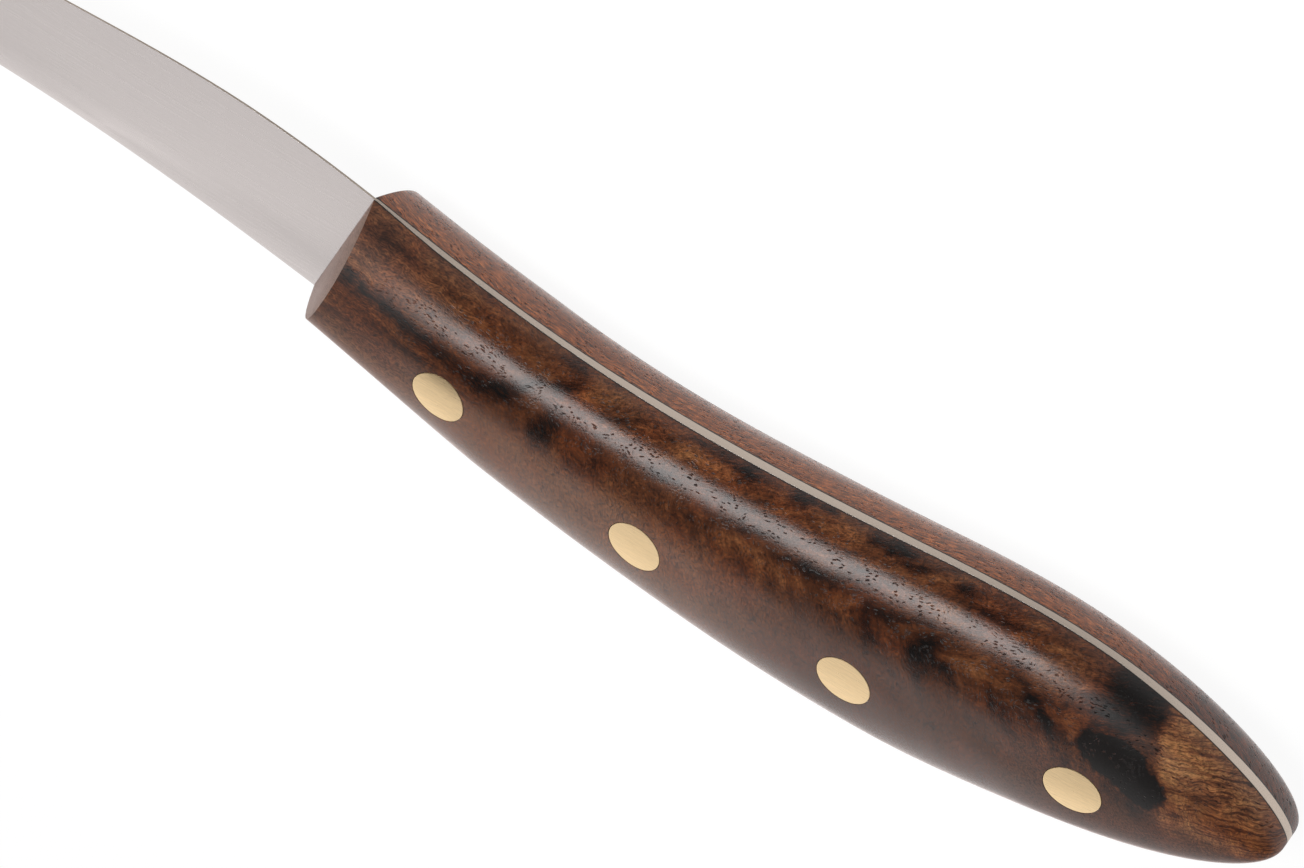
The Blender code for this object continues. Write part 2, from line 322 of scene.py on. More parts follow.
class GripSizes(bpy.types.PropertyGroup):
    """The handle's sizes."""

    length: metres("Length", "From the lower front corner to the end of the butt", 0.1193)
    neck_width: metres("Neck width", "Spine to belly at the front of the scales", 0.0195)
    palm_width: metres("Palm width", "Spine to belly at the widest place", 0.0275)
    neck_thickness: metres("Neck thickness", "Over both scales at the front", 0.0164)
    palm_thickness: metres("Palm thickness", "Over both scales at the palm", 0.0152)
    butt_length: metres(
        "Butt length", "The stretch over which the palm closes to the butt", 0.0442
    )
    front_rake: angle(
        "Front rake", "How far the front faces lean from square across the knife", 19.0
    )
    front_slope: angle(
        "Front slope", "How far the front faces slope back from the steel", 21.0
    )
    shoulder: metres(
        "Shoulder", "What the wood closes down to beside the steel at the butt", 0.0003
    )
    glue_line: metres("Glue line", "The film of glue between the steel and each scale", 0.00001)
    broken_edge: metres("Broken edge", "The rounding round each front face", 0.00014)


class SteelSizes(bpy.types.PropertyGroup):
    """The blade's and the tang's sizes."""

    blade_length: metres("Blade length", "Heel to tip", 0.1780)
    heel_thickness: metres("Heel thickness", "Of the spine at the handle", 0.00026)
    tip_thickness: metres("Tip thickness", "Of the spine at the tip", 0.00018)
    bevel_thickness: metres("Bevel thickness", "Behind the sharpened edge", 0.00014)
    edge_thickness: metres("Edge thickness", "Of the cutting edge", 0.00004)
    bevel_height: metres("Bevel height", "Of the sharpened bevel", 0.00035)
    spine_round: metres("Spine rounding", "Rounding of the spine's corners", 0.000002)
    plunge: metres(
        "Plunge", "The step from the ground blade to the tang, inside the scales", 0.0004
    )
    distal_taper: FloatProperty(
        name="Distal taper",
        description="Exponent: how early the spine thins towards the tip",
        default=2.5,
    )


class PinSizes(bpy.types.PropertyGroup):
    """The sizes of the pins, which stand where the frame's do."""

    seat: metres("Seat", "The dark ring of glue between a pin and the wood", 0.00007)
    rim: metres("Rim", "Rounding of a pin's end", 0.00004)


class FinishColours(bpy.types.PropertyGroup):
    """Colours of the finished surfaces."""

    black_wood: swatch("Black wood", "The knot", (0.0020, 0.0008, 0.0006))
    dark_wood: swatch("Dark wood", "Dark rings and streaks", (0.022, 0.0055, 0.0015))
    heartwood: swatch(
        "Heartwood", "The middle brown of the near scale", (0.070, 0.0215, 0.0072)
    )
    light_wood: swatch("Light wood", "Pale rings", (0.150, 0.0560, 0.0200))
    gold_wood: swatch(
        "Golden wood", "The palest wood, at the butt", (0.240, 0.1080, 0.0380)
    )
    # the front faces' end grain, painted paler and greyer as a reflection of the floor and the blade
    end_grain_and_reflection: swatch("End grain", "The front faces of the scales", (0.135, 0.075, 0.052))
    steel: swatch("Steel", "The blade and the tang", (0.655, 0.600, 0.585))
    # a painted shade: the same steel, darker and warmer on its narrow faces
    strip: swatch(
        "Steel strip",
        "The narrow faces of the steel, along the spine and round the butt",
        (0.52, 0.437, 0.37),
    )
    brass: swatch("Brass", "The pins", (0.90, 0.665, 0.38))


class StageSettings(bpy.types.PropertyGroup):
    """The studio round the knife."""

    floor: swatch("Floor", "The pale floor", (0.86, 0.86, 0.86))
    world: FloatProperty(
        name="World", description="Light from all round", default=0.06, min=0.0
    )
    key: watts("Key light", "Power of the long softbox, in watts", 7.0)
    back: watts("Back light", "Power of the panel behind, in watts", 5.4)
    sides: watts("Side lights", "Power of each side panel, in watts", 2.0)
    lens: FloatProperty(
        name="Lens", description="Focal length on a 36 mm sensor", default=101.49
    )


def smooth_curve(places, values):
    """The natural cubic spline through the values, as a function of the place."""
    x = np.array(places, float)
    y = np.array(values, float)
    step = np.diff(x)
    slope = np.diff(y) / step
    matrix = np.eye(len(x))
    right = np.zeros(len(x))
    for i in range(1, len(x) - 1):
        matrix[i, i - 1 : i + 2] = step[i - 1], 2 * (step[i - 1] + step[i]), step[i]
        right[i] = 6 * (slope[i] - slope[i - 1])
    bend = np.linalg.solve(matrix, right)

    def at(place):
        i = int(np.clip(np.searchsorted(x, place) - 1, 0, len(step) - 1))
        before = place - x[i]
        after = x[i + 1] - place
        swing = bend[i] * after**3 + bend[i + 1] * before**3
        ends = y[i] * after + y[i + 1] * before
        sag = (bend[i] * after + bend[i + 1] * before) * step[i] ** 2
        return float((swing - sag) / (6 * step[i]) + ends / step[i])

    return at


class Grip:
    """The handle's shape, in the knife frame."""

    def __init__(self, sizes, steel):
        self.sizes = sizes
        self.steel = steel
        shares, heights, widening, thickening = zip(*GRIP_ROWS)
        self.centre_curve = smooth_curve(shares, heights)
        self.widening = smooth_curve(shares, widening)
        self.thickening = smooth_curve(shares, thickening)

    def butt_rounding(self, x, late, full):
        along = (x - (self.sizes.length - self.sizes.butt_length)) / self.sizes.butt_length
        return (1 - (BUTT_BLUNTNESS * max(0.0, along)) ** late) ** (1 / full)

    def centre(self, x):
        return self.centre_curve(x / self.sizes.length)

    def half_width(self, x):
        sizes = self.sizes
        swell = self.widening(x / sizes.length)
        width = sizes.neck_width + (sizes.palm_width - sizes.neck_width) * swell
        return width / 2 * self.butt_rounding(x, *BUTT_WIDTH_ROUNDING)

    def half_thickness(self, x, side):
        sizes = self.sizes
        swell = self.thickening(x / sizes.length)
        half = (sizes.neck_thickness + (sizes.palm_thickness - sizes.neck_thickness) * swell) / 2
        least = self.half_steel(x, side) + sizes.shoulder
        return least + (half - least) * self.butt_rounding(x, *BUTT_THICKNESS_ROUNDING)

    def half_steel(self, x, side):
        """How far the tang reaches from its middle, to the left where side is 1."""
        shares, left, right = zip(*TANG_ROWS)
        return float(np.interp(x / self.sizes.length, shares, left if side > 0 else right))

    def fullness(self, x):
        swell = min(1.0, self.thickening(x / self.sizes.length))
        return NECK_FULLNESS + (PALM_FULLNESS - NECK_FULLNESS) * swell

    def spine(self, x):
        return self.centre(x) + self.half_width(x)

    def belly(self, x):
        return self.centre(x) - self.half_width(x)

    def ring(self, x, side):
        """One scale's slice at x: half an oval from the spine to the belly, closed along the steel."""
        centre, width, thickness = self.centre(x), self.half_width(x), self.half_thickness(x, side)
        flat = self.half_steel(x, side) + self.sizes.glue_line
        power = 2 / self.fullness(x)
        start = math.asin((flat / thickness) ** (1 / power))
        points = []
        for i in range(GRIP_SIDES + 1):
            turn = start + (math.pi - 2 * start) * i / GRIP_SIDES
            up, out = math.cos(turn), math.sin(turn)
            y = math.copysign(abs(up) ** power, up) * width
            points.append(Vector((x, centre + y, side * out**power * thickness)))
        return points + points[:1]

    def surface(self, x, y, side):
        """How high the outside of the grip stands over the middle of the steel at x, y."""
        power = self.fullness(x)
        share = min(1.0, abs(y - self.centre(x)) / self.half_width(x))
        return self.half_thickness(x, side) * (1 - share**power) ** (1 / power)

    def front_x(self, y):
        return (y - self.belly(0)) * math.tan(self.sizes.front_rake)

    def front_at_spine(self):
        """Where the front meets the spine, whose height changes a little with x."""
        x = 0.0
        for _ in range(SETTLING_STEPS):
            x = self.front_x(self.spine(x))
        return x


def knife_origin(grip):
    """The knife frame's origin in the row frame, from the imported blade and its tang."""
    low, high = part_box("blade")
    length = grip.sizes.length
    lowest = min(grip.belly(length * i / BELLY_SAMPLES) for i in range(BELLY_SAMPLES))
    return Vector((high.x - length, low.y - lowest, (low.z + high.z) / 2))


def wrapped(sections):
    """A grid with a row of faces between each two sections, moved onto their points."""
    along = len(sections) - 1
    around = len(sections[0]) - 1
    body = bmesh.new()
    bmesh.ops.create_grid(body, x_segments=along, y_segments=around, size=0.5)
    for vert in body.verts:
        i = round((vert.co.x + 0.5) * along)
        j = round((vert.co.y + 0.5) * around)
        vert.co = sections[i][j]
    bmesh.ops.remove_doubles(body, verts=body.verts, dist=MERGE)
    return body


def close(body):
    """Caps every open end and turns the faces outwards."""
    open_edges = [edge for edge in body.edges if edge.is_boundary]
    bmesh.ops.holes_fill(body, edges=open_edges, sides=0)
    bmesh.ops.recalc_face_normals(body, faces=body.faces)


def saw(body, point, away):
    """Cuts off what lies beyond a plane, on the side that away points to, and closes the cut."""
    everything = body.verts[:] + body.edges[:] + body.faces[:]
    bmesh.ops.bisect_plane(
        body, geom=everything, dist=MERGE, plane_co=point, plane_no=away, clear_outer=True
    )
    close(body)


def drill(body, rods):
    """Takes the rods out of the body, both as meshes."""
    work = bpy.data.objects.new("work", bpy.data.meshes.new("work"))
    tool = bpy.data.objects.new("tool", bpy.data.meshes.new("tool"))
    body.to_mesh(work.data)
    rods.to_mesh(tool.data)
    bpy.context.scene.collection.objects.link(work)
    bpy.context.scene.collection.objects.link(tool)
    cut = work.modifiers.new("bores", "BOOLEAN")
    cut.operation = "DIFFERENCE"
    cut.solver = "EXACT"
    cut.object = tool
    graph = bpy.context.evaluated_depsgraph_get()
    drilled = bpy.data.meshes.new_from_object(work.evaluated_get(graph))
    body.clear()
    body.from_mesh(drilled)
    for spare in (work, tool):
        mesh = spare.data
        bpy.data.objects.remove(spare)
        bpy.data.meshes.remove(mesh)
    bpy.data.meshes.remove(drilled)


def pin_places(origin):
    """Each pin's centre and radius, in the knife frame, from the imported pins."""
    places = []
    for name in PIN_NODES:
        low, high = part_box(name)
        middle = (low + high) / 2 - origin
        places.append((middle.x, middle.y, (high.x - low.x) / 2))
    return places


def bores(origin, seat, length):
    """Rods as wide as the bores, through every pin's place."""
    rods = bmesh.new()
    for x, y, radius in pin_places(origin):
        bmesh.ops.create_cone(
            rods,
            cap_ends=True,
            segments=PIN_SIDES,
            radius1=radius + seat,
            radius2=radius + seat,
            depth=length,
            matrix=Matrix.Translation((x, y, 0)),
        )
    return rods


def finish_piece(name, body, origin, material, replaced):
    """The body as a finished object in the row frame, riding with the knife."""
    bmesh.ops.translate(body, vec=origin, verts=body.verts)
    mesh = bpy.data.meshes.new(name)
    body.to_mesh(mesh)
    body.free()
    mesh.shade_smooth()
    mesh.set_sharp_from_angle(angle=SHARP_ANGLE)
    mesh.materials.append(material)
    piece = bpy.data.objects.new(name, mesh)
    bpy.context.scene.collection.objects.link(piece)
    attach(piece, BODY)
    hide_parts(replaced)
    return piece


def scale_body(grip, side):
    """One scale without its bores: half the oval grip, sawn off at the front. Side is 1 or -1."""
    sizes = grip.sizes
    butt_start = sizes.length - sizes.butt_length
    start = -sizes.palm_thickness / 4  # wood ahead of the front, which the saw takes off
    straight = GRIP_STATIONS // 2
    places = [start + (butt_start - start) * i / straight for i in range(straight)]
    rounded = GRIP_STATIONS - straight
    for i in range(rounded + 1):
        places.append(butt_start + sizes.butt_length * math.sin(math.pi / 2 * i / rounded))
    body = wrapped([grip.ring(x, side) for x in places])
    close(body)

    turn = Matrix.Rotation(-sizes.front_rake, 3, "Z") @ Matrix.Rotation(
        side * sizes.front_slope, 3, "Y"
    )
    away = turn @ Vector((-1, 0, 0))
    saw(body, (0, grip.belly(0), side * grip.half_steel(0, side)), away)
    return body, away


def break_front_edge(body, away, width):
    """Rounds the edges round the front face a little."""
    front = max(body.faces, key=lambda face: face.normal.dot(away) * face.calc_area())
    bmesh.ops.bevel(
        body,
        geom=front.edges[:],
        offset=width,
        offset_type="OFFSET",
        segments=2,
        profile=0.5,
        affect="EDGES",
        material=-1,
        clamp_overlap=True,
    )


def mark_clearance(body, grip, side):
    """Writes how far each point stands clear of the glue line, in millimetres, for the material."""
    layer = body.verts.layers.float.new("clearance")
    for vert in body.verts:
        flat = grip.half_steel(vert.co.x, side) + grip.sizes.glue_line
        vert[layer] = MILLIMETRES * (abs(vert.co.z) - flat)


def steel_side(reaches, height, bevel, rounding):
    """One side of a slice of the steel, as shares of the way from the edge to the spine and reaches."""
    at_spine, above_bevel, at_edge = reaches
    side = [(1.0, at_spine - rounding), (1 - rounding / height, at_spine)]
    for share in (0.75, 0.5, 0.25):
        side.append((share, above_bevel + (at_spine - above_bevel) * share))
    return side + [(bevel / height, above_bevel), (0.0, at_edge)]


def steel_ring(spine, edge, left, right, bevel, rounding):
    """A slice of the steel between a point of the spine and one of the edge. Left and right hold how
    far each side reaches at the spine, above the bevel and at the edge."""
    spine, edge = Vector((*spine, 0)), Vector((*edge, 0))
    height = (spine - edge).length
    rows = steel_side(left, height, bevel, rounding)
    rows += [(share, -out) for share, out in reversed(steel_side(right, height, bevel, rounding))]
    points = [edge.lerp(spine, share) + Vector((0, 0, out)) for share, out in rows]
    return points + points[:1]


def tang_reaches(grip, spine_x, belly_x, side):
    """How far one side of the tang reaches at the spine, above the belly's corner and at the belly."""
    at_belly = grip.half_steel(belly_x, side)
    return grip.half_steel(spine_x, side), at_belly, at_belly


def steel_body(grip):
    """The blade and the tang, in one bar."""
    steel, length = grip.steel, grip.sizes.length
    lean = grip.front_at_spine()
    blade_spine = smooth_curve(*zip((0.0, grip.spine(lean)), *SPINE_ROWS))
    blade_edge = smooth_curve(*zip(*EDGE_ROWS))
    slices = []
    for i in range(BLADE_STATIONS + 1):
        share = 1 - (i / BLADE_STATIONS) ** TIP_CROWDING
        spine = (lean - (steel.blade_length + lean) * share, blade_spine(share))
        edge = (-steel.blade_length * share, blade_edge(share))
        gone = (1 - share) ** steel.distal_taper
        thickness = steel.tip_thickness + (steel.heel_thickness - steel.tip_thickness) * gone
        height = math.dist(spine, edge)
        bevel = min(steel.bevel_height, height / BEVEL_LIMIT)
        reaches = (thickness / 2, steel.bevel_thickness / 2, steel.edge_thickness / 2)
        rounding = min(steel.spine_round, height / ROUNDING_LIMIT)
        slices.append(steel_ring(spine, edge, reaches, reaches, bevel, rounding))
    least = steel.spine_round / 2
    for i in range(TANG_STATIONS + 1):
        share = math.sin(math.pi / 2 * i / TANG_STATIONS)
        start = lean + steel.plunge
        spine_x = start + (length - start) * share
        belly_x = steel.plunge + (length - steel.plunge) * share
        spine = (spine_x, grip.spine(spine_x))
        belly = (belly_x, grip.belly(belly_x))
        sliver = min(least, math.dist(spine, belly) / ROUNDING_LIMIT)
        left, right = (tang_reaches(grip, spine_x, belly_x, side) for side in (1, -1))
        slices.append(steel_ring(spine, belly, left, right, sliver, sliver))
    body = wrapped(slices)
    close(body)
    return body


def pin_body(grip, x, y, radius, rim):
    """A pin turned on its axis, with each end ground to the grip's surface."""
    half = grip.half_thickness(x, 1)
    outline = [(radius * i / PIN_RINGS, half) for i in range(PIN_RINGS)]
    outline += [(radius - 2 * rim, half), (radius - rim, half)]
    outline += [(radius - CORNER_CUT * rim, half - CORNER_CUT * rim)]
    outline += [(radius, half - rim)]
    outline += [(out, -up) for out, up in reversed(outline)]
    body = bmesh.new()
    ring = [body.verts.new((out, 0, up)) for out, up in outline]
    for first, second in zip(ring, ring[1:]):
        body.edges.new((first, second))
    bmesh.ops.spin(
        body,
        geom=body.verts[:] + body.edges[:],
        axis=(0, 0, 1),
        cent=(0, 0, 0),
        angle=2 * math.pi,
        steps=PIN_SIDES,
        use_merge=True,
    )
    bmesh.ops.remove_doubles(body, verts=body.verts, dist=MERGE)
    bmesh.ops.recalc_face_normals(body, faces=body.faces)
    for vert in body.verts:
        lowered = half - abs(vert.co.z)
        side = math.copysign(1, vert.co.z)
        top = grip.surface(x + vert.co.x, y + vert.co.y, side) - lowered
        vert.co = (x + vert.co.x, y + vert.co.y, side * top)
    return body


class Nodes:
    """Short calls that place shader nodes in a tree and wire them."""

    def __init__(self, tree):
        self.tree = tree

    def add(self, kind, inputs=None, **settings):
        node = self.tree.nodes.new(kind)
        for name, value in settings.items():
            setattr(node, name, value)
        for name, value in (inputs or {}).items():
            self.feed(node.inputs[name], value)
        return node

    def feed(self, socket, value):
        if isinstance(value, bpy.types.NodeSocket):
            self.tree.links.new(value, socket)
        elif socket.type == "RGBA" and len(value) == 3:
            socket.default_value = (*value, 1)
        else:
            socket.default_value = value

    def maths(self, operation, first, second=0.0, third=0.0, clamp=False):
        values = {0: first, 1: second, 2: third}
        node = self.add("ShaderNodeMath", values, operation=operation, use_clamp=clamp)
        return node.outputs[0]

    def vector(self, operation, first, second=(0, 0, 0), out="Vector", **inputs):
        node = self.add("ShaderNodeVectorMath", {0: first, 1: second}, operation=operation)
        for name, value in inputs.items():
            self.feed(node.inputs[name], value)
        return node.outputs[out]

    def split(self, vector):
        return self.add("ShaderNodeSeparateXYZ", {"Vector": vector}).outputs

    def join(self, x, y, z=0.0):
        return self.add("ShaderNodeCombineXYZ", {"X": x, "Y": y, "Z": z}).outputs[0]

    def facing(self):
        """The parts of the face's own normal."""
        return self.split(self.add("ShaderNodeNewGeometry").outputs["True Normal"])

    def turn_back(self, place, angle):
        """The place turned against the angle, so that a pattern along X runs at that angle."""
        inputs = {"Vector": place, "Angle": self.maths("MULTIPLY", angle, -1.0)}
        return self.add("ShaderNodeVectorRotate", inputs, rotation_type="Z_AXIS").outputs[0]

    def mix(self, share, first, second):
        return self.add("ShaderNodeMix", {0: share, 2: first, 3: second}).outputs[0]

    def blend(self, share, first, second, kind="MIX"):
        node = self.add("ShaderNodeMix", data_type="RGBA", blend_type=kind)
        self.feed(node.inputs["Factor"], share)
        self.feed(node.inputs["A"], first)
        self.feed(node.inputs["B"], second)
        return [out for out in node.outputs if out.type == "RGBA"][0]

    def ramp(self, value, low, high, start=0.0, end=1.0, smooth=True):
        inputs = {"Value": value, "From Min": low, "From Max": high, "To Min": start, "To Max": end}
        kind = "SMOOTHSTEP" if smooth else "LINEAR"
        return self.add("ShaderNodeMapRange", inputs, interpolation_type=kind).outputs[0]

    def noise(self, place, scale, detail=2.0, roughness=0.5, out=0):
        inputs = {"Vector": place, "Scale": scale, "Detail": detail, "Roughness": roughness}
        return self.add("ShaderNodeTexNoise", inputs).outputs[out]


def new_group(name, inputs, outputs):
    """A shader node group. Inputs and outputs hold each socket's name and default, which is a number
    or a vector."""
    group = bpy.data.node_groups.new(name, "ShaderNodeTree")
    for way, sockets in (("INPUT", inputs), ("OUTPUT", outputs)):
        for label, default in sockets.items():
            kind = "NodeSocketVector" if isinstance(default, tuple) else "NodeSocketFloat"
            socket = group.interface.new_socket(label, in_out=way, socket_type=kind)
            socket.default_value = default
    nodes = Nodes(group)
    return group, nodes, nodes.add("NodeGroupInput").outputs, nodes.add("NodeGroupOutput").inputs


def place_group(nodes, group, **inputs):
    node = nodes.add("ShaderNodeGroup", node_tree=group)
    for name, value in inputs.items():
        nodes.feed(node.inputs[name.capitalize()], value)
    return node.outputs


def new_material(name):
    """An empty material with its Principled shader, and the nodes to wire it."""
    material = bpy.data.materials.new(name)
    material.use_nodes = True
    tree = material.node_tree
    return material, Nodes(tree), tree.nodes["Principled BSDF"]


def millimetres(nodes):
    """Object coordinates in millimetres."""
    place = nodes.add("ShaderNodeTexCoord").outputs["Object"]
    return nodes.vector("SCALE", place, Scale=MILLIMETRES)


def belt_lines():
    """Fine straight lines left by a belt. The group is made once, and the metals share it."""
    before = bpy.data.node_groups.get("belt lines")
    if before:
        return before
    group, nodes, given, made = new_group(
        "belt lines",
        {"Position": (0, 0, 0), "Length": 20.0, "Width": 0.06},
        {"Lines": 0.0},
    )
    along = nodes.maths("DIVIDE", 1.0, given["Length"])
    across = nodes.maths("DIVIDE", 1.0, given["Width"])
    stretched = nodes.vector("MULTIPLY", given["Position"], nodes.join(along, across, across))
    nodes.feed(made["Lines"], nodes.noise(stretched, 1.0, detail=3.0, roughness=0.6))
    return group


def metal_material(name, colour, shaded_strip_colour, finish):
    """Metal with fine belt lines. Faces that look along the knife's plane take the strip's colour, a
    painted shade of the same metal.
    """
    material, nodes, shader = new_material(name)
    roughness, anisotropy, length, width, contrast = finish
    lines = place_group(
        nodes, belt_lines(), position=millimetres(nodes), length=length, width=width
    )["Lines"]
    darkest, palest = METAL_LEVEL - contrast, METAL_LEVEL + contrast
    tone = nodes.ramp(lines, *LINE_SPREAD, darkest, palest, smooth=False)
    # the narrow faces take the strip's colour, a painted shade
    flank = nodes.ramp(nodes.maths("ABSOLUTE", nodes.facing()["Z"]), *STRIP_TO_FLANK)
    shade = nodes.blend(flank, tuple(shaded_strip_colour), tuple(colour))
    nodes.feed(shader.inputs["Base Color"], nodes.vector("SCALE", shade, Scale=tone))
    smoothest, roughest = roughness - LINE_POLISHED, roughness + LINE_DULLED
    rough = nodes.ramp(lines, *LINE_SPREAD, smoothest, roughest, smooth=False)
    nodes.feed(shader.inputs["Roughness"], rough)
    shader.inputs["Metallic"].default_value = 1.0
    shader.inputs["Anisotropic"].default_value = anisotropy
    raise_surface(nodes, shader, lines, LINE_STRENGTH, LINE_DEPTH)
    return material


def raise_surface(nodes, shader, height, strength, depth):
    """Bumps the surface. Depth is what a height of 1 stands, in metres."""
    bump = nodes.add("ShaderNodeBump", {"Height": height, "Strength": strength})
    bump.inputs["Distance"].default_value = depth
    nodes.feed(shader.inputs["Normal"], bump.outputs["Normal"])


def unrolled_group():
    """The place on a scale, as if its skin were laid flat: along the knife, and across from the belly
    (below 0) over the side to the spine, in millimetres."""
    group, nodes, given, made = new_group(
        "unrolled place",
        {"Position": (0, 0, 0), "Steel": 8.0, "Side": SKIN_SIDE, "Ragged": 1.0},
        {"Place": (0, 0, 0)},
    )
    place = nodes.split(given["Position"])
    out = nodes.maths("ABSOLUTE", nodes.maths("SUBTRACT", place["Z"], given["Steel"]))
    drop = nodes.maths("SUBTRACT", given["Side"], out)
    turn = nodes.ramp(place["Y"], -4.0, 4.0, -1.0, 1.0, smooth=False)
    across = nodes.maths("MULTIPLY_ADD", drop, turn, place["Y"])
    flat = nodes.join(place["X"], across)
    clouds = nodes.noise(given["Position"], 0.28, 3.0, 0.55, out=1)
    drift = nodes.vector("SUBTRACT", clouds, (0.5, 0.5, 0.5))
    drift = nodes.vector("SCALE", drift, Scale=given["Ragged"])
    nodes.feed(made["Place"], nodes.vector("ADD", flat, drift))
    return group


def streaks_group():
    """Bands, fibres, pores and close grain that run one way over the unrolled skin."""
    group, nodes, given, made = new_group(
        "streaks",
        {"Place": (0, 0, 0), "Turn": 0.0, "Length": 12.0, "Width": 1.5, "Seed": 0.0},
        {"Bands": 0.0, "Fibres": 0.0, "Pores": 0.0, "Grain": 0.0},
    )
    turned = nodes.turn_back(given["Place"], given["Turn"])
    shift = nodes.join(given["Seed"], 0.0, given["Seed"])
    long = nodes.maths("DIVIDE", 1.0, given["Length"])
    wide = nodes.maths("DIVIDE", 1.0, given["Width"])
    squeezed = nodes.vector("MULTIPLY", turned, nodes.join(long, wide))
    stretched = nodes.vector("ADD", squeezed, shift)
    nodes.feed(made["Bands"], nodes.noise(stretched, 1.0, 3.0, 0.55))
    fine = nodes.vector("ADD", nodes.vector("MULTIPLY", turned, (0.9, 6.5, 1.0)), shift)
    nodes.feed(made["Fibres"], nodes.noise(fine, 1.0, 2.0, 0.6))
    cells = nodes.vector("ADD", nodes.vector("MULTIPLY", turned, (1.15, 2.5, 1.0)), shift)
    spots = nodes.add(
        "ShaderNodeTexVoronoi", {"Vector": cells, "Scale": 1.0}, voronoi_dimensions="2D"
    ).outputs
    near = nodes.ramp(spots["Distance"], 0.13, 0.29, 1.0, 0.0)
    picked = nodes.add("ShaderNodeSeparateColor", {"Color": spots["Color"]}).outputs[0]
    clustered = nodes.ramp(nodes.noise(given["Place"], 0.42, 2.0), 0.43, 0.63, 0.06, 0.92)
    kept = nodes.maths("LESS_THAN", picked, clustered)
    nodes.feed(made["Pores"], nodes.maths("MULTIPLY", near, kept))
    close_grain = nodes.vector("MULTIPLY", turned, (2.3, 4.0, 1.0))
    nodes.feed(made["Grain"], nodes.noise(close_grain, 1.0, 3.0, 0.75))
    return group


def spot_group():
    """A soft oval spot on the unrolled skin."""
    group, nodes, given, made = new_group(
        "spot",
        {
            "Place": (0, 0, 0),
            "Centre": (0, 0, 0),
            "Reach": (1, 1, 1),
            "Turn": 0.0,
            "Strength": 1.0,
        },
        {"Spot": 0.0},
    )
    away = nodes.vector("SUBTRACT", given["Place"], given["Centre"])
    shares = nodes.vector("DIVIDE", nodes.turn_back(away, given["Turn"]), given["Reach"])
    far = nodes.vector("LENGTH", shares, out="Value")
    soft = nodes.ramp(far, 0.15, 1.6, 1.0, 0.0)
    nodes.feed(made["Spot"], nodes.maths("MULTIPLY", soft, given["Strength"]))
    return group


class Figure:
    """The groups that draw the wood, made once and placed in both scales' materials."""

    def __init__(self):
        self.unrolled = unrolled_group()
        self.streaks = streaks_group()
        self.spot = spot_group()


def unroll(nodes, figure, position, steel_height, ragged):
    """The place on a scale's unrolled skin, and its parts along and across."""
    place = place_group(
        nodes, figure.unrolled, position=position, steel=steel_height, side=SKIN_SIDE, ragged=ragged
    )["Place"]
    return place, nodes.split(place)


def run_grain(nodes, figure, place, way):
    turn, length, width, seed = GRAIN_WAYS[way]
    turn = math.radians(turn)
    return place_group(
        nodes, figure.streaks, place=place, turn=turn, length=length, width=width, seed=seed
    )


def spots_sum(nodes, figure, place, rows):
    """All the spots of a table, added up."""
    total = 0.0
    for x, across, reach_x, reach_y, turn, strength in rows:
        spot = place_group(
            nodes,
            figure.spot,
            place=place,
            centre=(x, across, 0),
            reach=(reach_x, reach_y, 1),
            turn=math.radians(turn),
            strength=strength,
        )["Spot"]
        total = nodes.maths("ADD", total, spot)
    return total


def wood_colour(nodes, tone, reddish, tint, colours):
    """From near black over brown to gold as the tone goes from 0 to 1, tinted where it is reddish."""
    node = nodes.add("ShaderNodeValToRGB", {"Fac": tone})
    stops = (
        colours.black_wood,
        colours.dark_wood,
        colours.heartwood,
        colours.light_wood,
        colours.gold_wood,
    )
    elements = node.color_ramp.elements
    while len(elements) < len(stops):
        elements.new(0.5)
    for i, (element, colour) in enumerate(zip(elements, stops)):
        element.position = i / (len(stops) - 1)
        element.color = (*colour, 1)
    plain = node.outputs["Color"]
    return nodes.blend(reddish, plain, nodes.blend(1.0, plain, tint, "MULTIPLY"))


def finish_wood(nodes, shader, colour, end_grain_and_reflection, relief, dulled, gloss):
    """Colour, gloss and relief of oiled wood whose pores stay open, dark where it meets the glue: dark
    glue, and a painted shade of the gap beside the steel.
    Relief holds the pores, the fibres and the grain."""
    pores, fibres, grain = relief
    clear = nodes.add("ShaderNodeAttribute", attribute_name="clearance").outputs["Fac"]
    # painted shade of the gap beside the steel, over the dark glue line
    glue_and_gap_shade = nodes.ramp(clear, *GLUE_AND_GAP_SHADE)
    speckle = nodes.ramp(grain, *SPECKLE, smooth=False)
    # the front faces take the end grain's colour, painted paler and greyer as a reflection of the floor
    # and the blade
    in_front = nodes.ramp(nodes.facing()["X"], *END_GRAIN_REFLECTION_LEAN)
    colour = nodes.blend(in_front, colour, tuple(end_grain_and_reflection))
    colour = nodes.vector("SCALE", colour, Scale=nodes.maths("MULTIPLY", glue_and_gap_shade, speckle))
    nodes.feed(shader.inputs["Base Color"], colour)
    rough = nodes.maths("ADD", nodes.ramp(grain, *SATIN, smooth=False), dulled)
    rough = nodes.maths("MULTIPLY_ADD", pores, PORE_ROUGHNESS, rough)
    nodes.feed(shader.inputs["Roughness"], rough)
    shader.inputs["IOR"].default_value = gloss
    shader.inputs["Sheen Weight"].default_value = SHEEN
    shader.inputs["Sheen Roughness"].default_value = SHEEN_ROUGHNESS
    shader.inputs["Sheen Tint"].default_value = SHEEN_TINT
    waves = nodes.noise(millimetres(nodes), WAVE_SCALE, 1.0)
    height = nodes.maths("MULTIPLY", fibres, FIBRE_HEIGHT)
    height = nodes.maths("MULTIPLY_ADD", pores, PORE_HEIGHT, height)
    height = nodes.maths("MULTIPLY_ADD", grain, GRAIN_HEIGHT, height)
    height = nodes.maths("MULTIPLY_ADD", waves, WAVE_HEIGHT, height)
    raise_surface(nodes, shader, height, RELIEF_STRENGTH, RELIEF)


